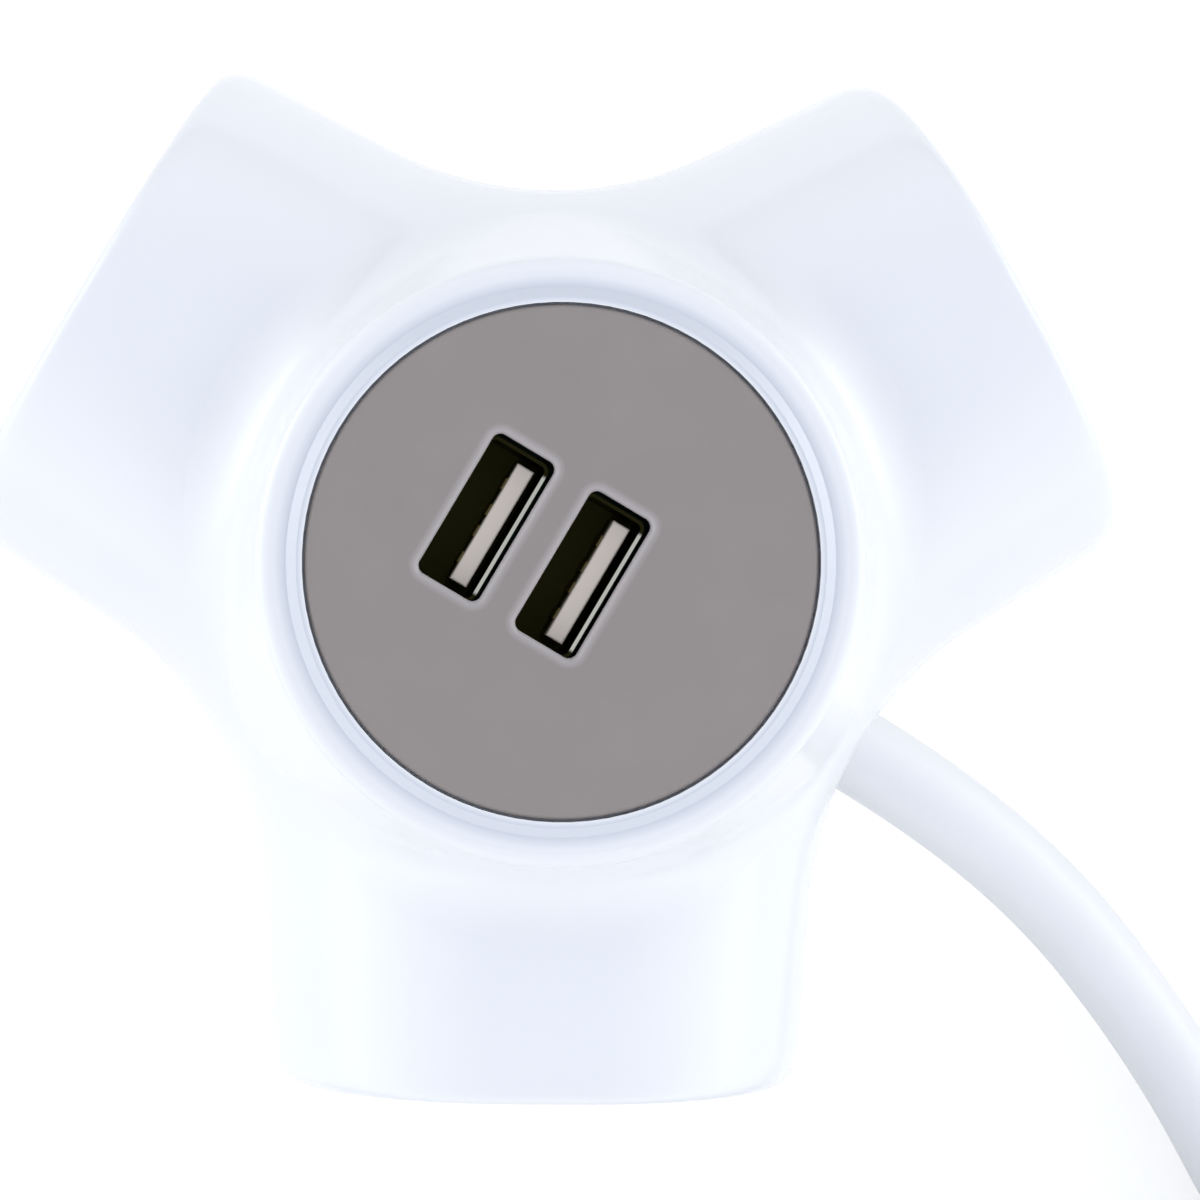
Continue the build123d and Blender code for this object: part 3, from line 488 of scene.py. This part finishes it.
for name in ("housing_screws", "board_screws", "clamp_screws", "bus_screw"):
    screws(name)


def direction(heading):
    return cos(radians(heading)), sin(radians(heading))


def around(radius, angle):
    """Point on a circle round the coil's middle."""
    x, y = direction(angle)
    return COIL_PLACE[0] + radius * x, COIL_PLACE[1] + radius * y


def ease(value):
    """From 0 to 1 with a soft start and end."""
    value = min(1.0, max(0.0, value))
    return (1.0 - cos(pi * value)) / 2.0


OUTER = COIL_RADIUS + CORD_RADIUS
INNER = COIL_RADIUS - CORD_RADIUS
LAYERS = [ENTRY_Z + layer * CORD_DIAMETER for layer in range(3)]
# Places of the turns in the coil's section, in the order in which they are wound
PLACES = [(OUTER, LAYERS[0]), (INNER, LAYERS[0]), (INNER, LAYERS[1]), (INNER, LAYERS[2]),
          (OUTER, LAYERS[2]), (OUTER, LAYERS[1])]
# Where in the free part of the circle each turn passes to its next place, as shares of that part
CHANGES = [(0.58, 1.0), (0.38, 0.8), (0.38, 0.8), (0.2, 0.6), (0.0, 0.42)]
ENTRY_ANGLE = ENTRY_HEADING + 90.0
EXIT_ANGLE = EXIT_HEADING + 90.0
# Part of the circle that all turns fill, from the entry to the exit, and the rest of it
FULL_PART = ENTRY_ANGLE - EXIT_ANGLE
FREE_PART = 360.0 - FULL_PART
STEP = 20.0
# The spline passes each point at (1, 6, 1) / 8 of it and its neighbours, inside their circle
SPREAD = 1.0 / ((6.0 + 2.0 * cos(radians(STEP))) / 8.0)


def coil_points():
    """Control points of the turns, clockwise from above, from the entry to the exit."""
    points = []
    total = FULL_PART + 360.0 * (len(PLACES) - 1)
    count = round(total / STEP)
    for number in range(count + 1):
        gone = total * number / count
        turn = int(gone // 360.0)
        within = gone - 360.0 * turn
        radius, height = PLACES[turn]
        if turn < len(CHANGES) and within > FULL_PART:
            share = (within - FULL_PART) / FREE_PART
            start, end = CHANGES[turn]
            mix = ease((share - start) / (end - start))
            next_radius, next_height = PLACES[turn + 1]
            radius += (next_radius - radius) * mix
            height += (next_height - height) * mix
        x, y = around(radius * SPREAD, ENTRY_ANGLE - gone)
        points.append((x, y, height))
    return points


def cord_points():
    """Control points of the whole lead, from the housing to the plug."""
    along = direction(ENTRY_HEADING)
    touch = around(OUTER, ENTRY_ANGLE)
    entry = [(touch[0] - along[0] * back, touch[1] - along[1] * back, ENTRY_Z)
             for back in (COIL_STUB + ENTRY_RUN, COIL_STUB, COIL_STUB / 2)]
    leave_x, leave_y = around(OUTER, EXIT_ANGLE)
    rear_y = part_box("plug_body")[1][1] / MM
    exit_z = LAYERS[1]
    away = [(leave_x, leave_y - COIL_STUB / 2, exit_z),
            (leave_x, leave_y - COIL_STUB, exit_z),
            (leave_x, (leave_y - COIL_STUB + rear_y) / 2, exit_z),
            (leave_x, rear_y - PLUG_ENTRY, PLUG_REAR_Z)]
    return [SHEATH_END, *LEAD_BENDS, *entry, *coil_points(), *away]


def cord_curve():
    """Round lead on one smooth open spline."""
    curve = bpy.data.curves.new("cord_line", "CURVE")
    curve.dimensions = "3D"
    curve.bevel_depth = CORD_RADIUS * MM
    curve.bevel_resolution = CORD_SIDES
    curve.resolution_u = CORD_STEPS
    curve.use_fill_caps = True
    route = cord_points()
    spline = curve.splines.new("NURBS")
    spline.points.add(len(route) - 1)
    for point, (x, y, z) in zip(spline.points, route):
        point.co = (x * MM, y * MM, z * MM, 1.0)
    spline.order_u = 3
    spline.use_endpoint_u = True
    piece = bpy.data.objects.new("cord_line", curve)
    scene.collection.objects.link(piece)
    curve.materials.append(sheath)
    return piece


lead = cord_curve()
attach(lead, "root")
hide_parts("cord", "cord_coil", "cord_tail")


# Camera of the photograph: almost straight above, image turned against the part's axes
CAMERA_PLACE = Vector((8.3, -23.1, 420.8)) * MM
CAMERA_TARGET = Vector((0.01, 8.23, 0.0)) * MM
CAMERA_TURN = radians(120.8)
FOCAL = 134.8
SENSOR = 36.0
NEAREST = 10.0 * MM


def camera():
    """Camera at its place, with its picture turned about the line of sight."""
    data = bpy.data.cameras.new("camera")
    data.sensor_width = SENSOR
    data.lens = FOCAL
    data.clip_start = NEAREST
    ahead = (CAMERA_TARGET - CAMERA_PLACE).normalized()
    up = Vector((-sin(CAMERA_TURN), cos(CAMERA_TURN), 0.0))
    right = ahead.cross(up).normalized()
    up = right.cross(ahead)
    piece = bpy.data.objects.new("camera", data)
    turn = Matrix((right, up, -ahead)).transposed().to_4x4()
    piece.matrix_world = Matrix.Translation(CAMERA_PLACE) @ turn
    scene.collection.objects.link(piece)
    scene.camera = piece


camera()


# Light of the photograph; half the floor's width is in metres
FLOOR_HALF = 3.0
FLOOR_COLOUR = (0.6, 0.6, 0.6)
FLOOR_LIFT = 0.6
LIGHT_LEVEL = 2.1
HORIZON = (1.0, 1.0, 0.975)
ZENITH = (0.22, 0.245, 0.305)
DARK_SIDE = (-0.859, -0.512, 0.0)
# Share of the level near the table, from the side opposite the dark one (0) to the dark one (1)
SIDE_LEVELS = ((0.0, 0.75), (0.25, 0.72), (0.45, 1.1), (0.6, 1.9), (0.72, 2.1), (0.84, 1.1),
               (0.93, 0.2), (1.0, 0.0))
# Height, as the sine of the elevation, above which all sides are alike
SIDES_ALIKE = 0.75


def floor():
    """Pale floor that takes the shadow and looks white to the camera and in reflections."""
    mesh = bpy.data.meshes.new("floor")
    corners = [(-1, -1), (1, -1), (1, 1), (-1, 1)]
    mesh.from_pydata([(x * FLOOR_HALF, y * FLOOR_HALF, 0) for x, y in corners], [], [(0, 1, 2, 3)])
    piece = bpy.data.objects.new("floor", mesh)
    scene.collection.objects.link(piece)
    material = bpy.data.materials.new("floor")
    tree = node_tree(material)
    out = add(tree, "ShaderNodeOutputMaterial")
    ray = add(tree, "ShaderNodeLightPath")
    seen = ray.outputs["Is Camera Ray"]
    for kind in ("Is Glossy Ray", "Is Transmission Ray"):
        seen = maths(tree, "MAXIMUM", seen, ray.outputs[kind])
    matt = add(tree, "ShaderNodeBsdfDiffuse")
    matt.inputs["Color"].default_value = (*FLOOR_COLOUR, 1.0)
    glow = add(tree, "ShaderNodeEmission")
    link(tree, maths(tree, "MULTIPLY", seen, FLOOR_LIFT), glow.inputs["Strength"])
    both = add(tree, "ShaderNodeAddShader")
    link(tree, matt.outputs["BSDF"], both.inputs[0])
    link(tree, glow.outputs["Emission"], both.inputs[1])
    link(tree, both.outputs["Shader"], out.inputs["Surface"])
    mesh.materials.append(material)


def world():
    """Soft light: bright round the table, dimmer and cooler overhead, dark low at one side."""
    sky = bpy.data.worlds.new("studio")
    scene.world = sky
    sky.use_nodes = True
    tree = sky.node_tree
    shade = tree.nodes["Background"]
    way = add(tree, "ShaderNodeTexCoord")
    split = add(tree, "ShaderNodeSeparateXYZ")
    link(tree, way.outputs["Generated"], split.inputs["Vector"])
    ramp = add(tree, "ShaderNodeValToRGB")
    ramp.color_ramp.elements[0].color = (*HORIZON, 1.0)
    ramp.color_ramp.elements[1].color = (*ZENITH, 1.0)
    link(tree, split.outputs["Z"], ramp.inputs["Fac"])
    link(tree, ramp.outputs["Color"], shade.inputs["Color"])
    flat = add(tree, "ShaderNodeVectorMath", operation="MULTIPLY")
    flat.inputs[1].default_value = (1.0, 1.0, 0.0)
    link(tree, way.outputs["Generated"], flat.inputs[0])
    unit = add(tree, "ShaderNodeVectorMath", operation="NORMALIZE")
    link(tree, flat.outputs["Vector"], unit.inputs[0])
    side = add(tree, "ShaderNodeVectorMath", operation="DOT_PRODUCT")
    side.inputs[1].default_value = DARK_SIDE
    link(tree, unit.outputs["Vector"], side.inputs[0])
    levels = add(tree, "ShaderNodeValToRGB")
    stops = levels.color_ramp.elements
    for number, (place, share) in enumerate(SIDE_LEVELS):
        stop = stops[number] if number < 2 else stops.new(place)
        stop.position = place
        stop.color = (share, share, share, 1.0)
    link(tree, rise(tree, side.outputs["Value"], -1.0, 1.0), levels.inputs["Fac"])
    low = rise(tree, split.outputs["Z"], SIDES_ALIKE, 0.0)
    change = maths(tree, "SUBTRACT", levels.outputs["Color"], 1.0)
    share = maths(tree, "ADD", maths(tree, "MULTIPLY", change, low), 1.0)
    link(tree, maths(tree, "MULTIPLY", share, LIGHT_LEVEL), shade.inputs["Strength"])


floor()
world()
